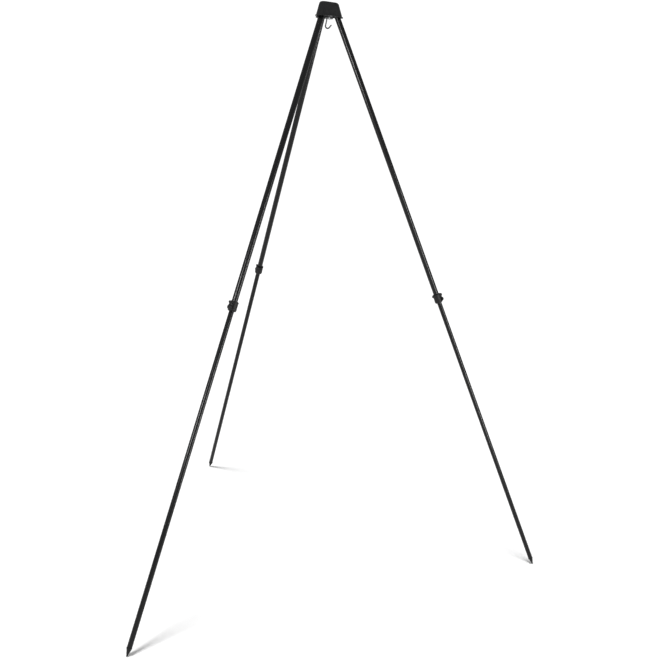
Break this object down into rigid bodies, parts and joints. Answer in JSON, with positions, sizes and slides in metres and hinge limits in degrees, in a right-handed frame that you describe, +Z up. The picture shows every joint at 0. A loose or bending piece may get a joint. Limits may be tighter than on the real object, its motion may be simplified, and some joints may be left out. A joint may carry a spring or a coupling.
{
  "type": "hanging tripod",
  "caption": "Tall field tripod with a hanging hook: telescopic round legs with flip clamps and spike feet, hinged under a moulded head, for weighing or hanging a load.",
  "frame": {"origin": "on the ground, under the middle of the tripod's box with the legs spread", "axes": "+Z up; leg 1 points along +Y, legs 2 and 3 follow at 120 degree steps, anticlockwise from above"},
  "size_m": [1.6274, 1.412, 2.0511],
  "materials": {
    "black_plastic": "moulded black nylon, fine matt texture",
    "grey_plastic": "plain moulded acetal",
    "black_tube": "satin black powder coat on drawn aluminium tube",
    "cast_alloy": "as-cast aluminium",
    "zinc_steel": "bright zinc-plated steel",
    "black_steel": "black oxide steel"
  },
  "bodies": {
    "head": {"head_cap": "black_plastic", "hinge_block": "cast_alloy", "base_pad": "black_plastic", "cap_screw_1": "zinc_steel", "cap_screw_2": "zinc_steel", "cap_screw_3": "zinc_steel", "pivot_bolt_1": "zinc_steel", "pivot_bolt_2": "zinc_steel", "pivot_bolt_3": "zinc_steel", "pivot_nut_1": "zinc_steel", "pivot_nut_2": "zinc_steel", "pivot_nut_3": "zinc_steel"},
    "hook_swivel": {"hook": "zinc_steel", "hook_washer": "zinc_steel", "hook_nut": "zinc_steel", "hook_locknut": "zinc_steel"},
    "leg_1": {"knuckle_1": "grey_plastic", "knuckle_rivet_1": "black_steel", "upper_tube_1": "black_tube", "clamp_collar_1": "black_plastic", "collar_screw_1": "black_steel", "lever_pin_1": "black_steel", "brake_pad_1": "grey_plastic"},
    "lever_1": {"clamp_lever_1": "black_plastic"},
    "lower_leg_1": {"lower_tube_1": "black_tube", "guide_bush_1": "grey_plastic", "spike_foot_1": "black_plastic"},
    "leg_2": {"knuckle_2": "grey_plastic", "knuckle_rivet_2": "black_steel", "upper_tube_2": "black_tube", "clamp_collar_2": "black_plastic", "collar_screw_2": "black_steel", "lever_pin_2": "black_steel", "brake_pad_2": "grey_plastic"},
    "lever_2": {"clamp_lever_2": "black_plastic"},
    "lower_leg_2": {"lower_tube_2": "black_tube", "guide_bush_2": "grey_plastic", "spike_foot_2": "black_plastic"},
    "leg_3": {"knuckle_3": "grey_plastic", "knuckle_rivet_3": "black_steel", "upper_tube_3": "black_tube", "clamp_collar_3": "black_plastic", "collar_screw_3": "black_steel", "lever_pin_3": "black_steel", "brake_pad_3": "grey_plastic"},
    "lever_3": {"clamp_lever_3": "black_plastic"},
    "lower_leg_3": {"lower_tube_3": "black_tube", "guide_bush_3": "grey_plastic", "spike_foot_3": "black_plastic"}
  },
  "joints": [
    {"name": "leg_fold_1", "type": "hinge", "parent": "head", "child": "leg_1", "pos_m": [0, -0.20481, 2.01806], "axis": [-1, 0, 0], "range_deg": [0, 24.2]},
    {"name": "leg_slide_1", "type": "slide", "parent": "leg_1", "child": "lower_leg_1", "axis": [0, -0.4106, 0.9118], "range_m": [0, 0.95]},
    {"name": "lever_flip_1", "type": "hinge", "parent": "leg_1", "child": "lever_1", "pos_m": [0, 0.24773, 1.0544], "axis": [1, 0, 0], "range_deg": [0, 115]},
    {"name": "leg_fold_2", "type": "hinge", "parent": "head", "child": "leg_2", "pos_m": [-0.02555, -0.24906, 2.01806], "axis": [0.5, -0.866, 0], "range_deg": [0, 24.2]},
    {"name": "leg_slide_2", "type": "slide", "parent": "leg_2", "child": "lower_leg_2", "axis": [0.3556, 0.2053, 0.9118], "range_m": [0, 0.95]},
    {"name": "lever_flip_2", "type": "hinge", "parent": "leg_2", "child": "lever_2", "pos_m": [-0.41746, -0.47533, 1.0544], "axis": [-0.5, 0.866, 0], "range_deg": [0, 115]},
    {"name": "leg_fold_3", "type": "hinge", "parent": "head", "child": "leg_3", "pos_m": [0.02555, -0.24906, 2.01806], "axis": [0.5, 0.866, 0], "range_deg": [0, 24.2]},
    {"name": "leg_slide_3", "type": "slide", "parent": "leg_3", "child": "lower_leg_3", "axis": [-0.3556, 0.2053, 0.9118], "range_m": [0, 0.95]},
    {"name": "lever_flip_3", "type": "hinge", "parent": "leg_3", "child": "lever_3", "pos_m": [0.41746, -0.47533, 1.0544], "axis": [-0.5, -0.866, 0], "range_deg": [0, 115]},
    {"name": "hook_turn", "type": "hinge", "parent": "head", "child": "hook_swivel", "pos_m": [0, -0.23431, 1.98806], "axis": [0, 0, 1], "continuous": true}
  ]
}
